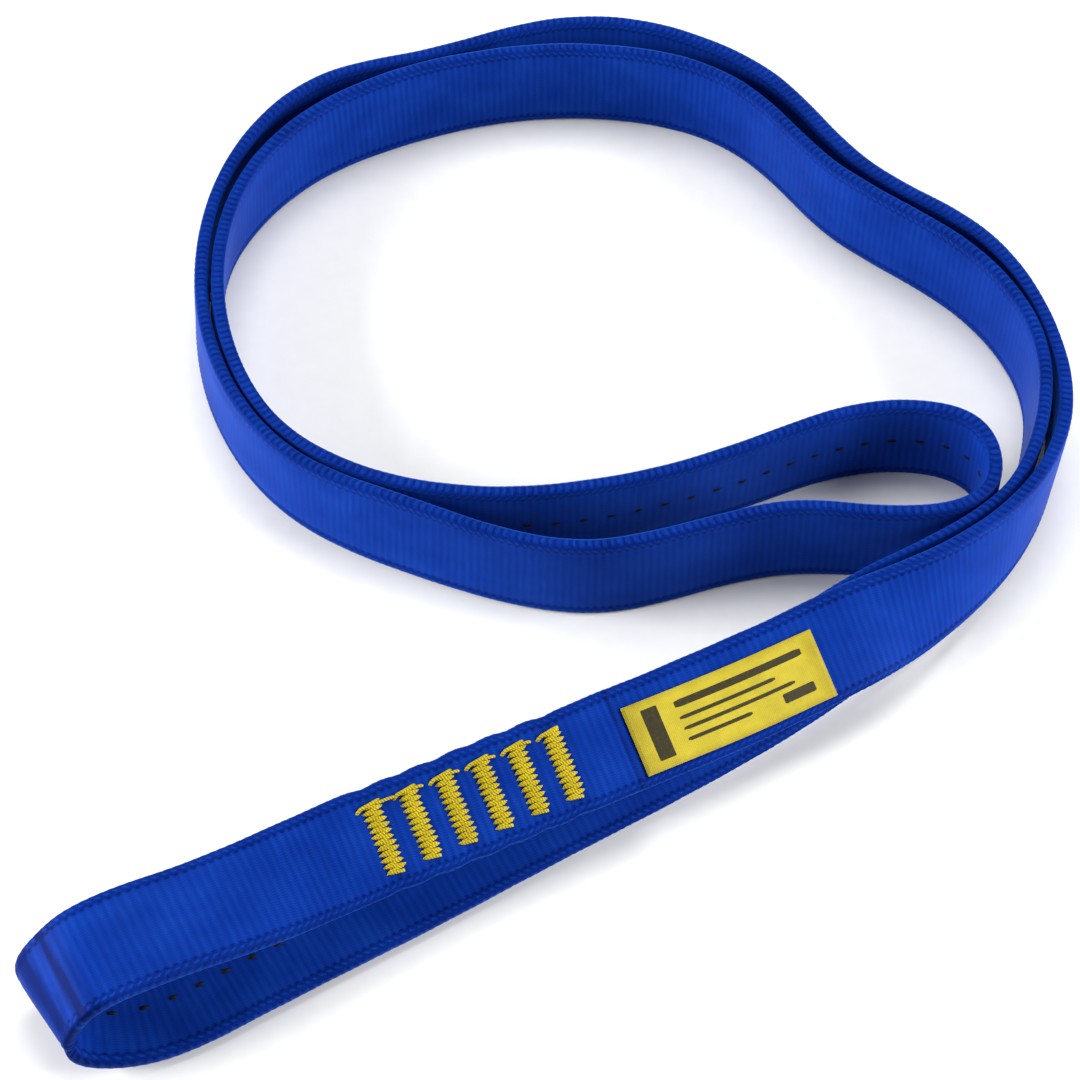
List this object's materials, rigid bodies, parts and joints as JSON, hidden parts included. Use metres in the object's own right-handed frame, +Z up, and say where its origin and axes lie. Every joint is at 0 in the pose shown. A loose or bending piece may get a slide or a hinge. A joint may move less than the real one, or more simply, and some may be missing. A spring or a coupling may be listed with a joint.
{
  "type": "flat web sling",
  "caption": "Endless flat webbing sling closed by a bar-tacked lap splice, lying doubled as a round ring with an eye at each end and a label beside the splice.",
  "frame": {"origin": "on the resting surface, under the middle of the bounding box of the laid-out sling", "axes": "+Z up from the resting surface; +Y along the longest extent of the laid-out sling, from the tail's eye towards the far side of the ring; +X to the right, from the tail's eye towards the ring's right side"},
  "size_m": [0.1705, 0.2174, 0.0199],
  "materials": {
    "webbing": "royal blue nylon webbing with fine crosswise ribs, beaded selvedges and a satin sheen",
    "tracer_yarn": "black nylon yarn, dull",
    "needle_thread": "twisted yellow nylon sewing thread, satin",
    "bobbin_thread": "twisted yellow nylon sewing thread, satin",
    "adhesive": "thin pressure-sensitive film, dull",
    "label_tape": "matte olive-yellow coated label tape",
    "label_ink": "dark brown printing ink, matte"
  },
  "bodies": {
    "root": {"webbing": "webbing", "tracer_yarn": "tracer_yarn", "bar_tack_1": "needle_thread", "bar_tack_2": "needle_thread", "bar_tack_3": "needle_thread", "bar_tack_4": "needle_thread", "bar_tack_5": "needle_thread", "bar_tack_6": "needle_thread", "bobbin_tack_1": "bobbin_thread", "bobbin_tack_2": "bobbin_thread", "bobbin_tack_3": "bobbin_thread", "bobbin_tack_4": "bobbin_thread", "bobbin_tack_5": "bobbin_thread", "bobbin_tack_6": "bobbin_thread", "travel_stitches": "needle_thread", "label_adhesive": "adhesive", "label_tape": "label_tape", "label_print": "label_ink"}
  },
  "joints": []
}
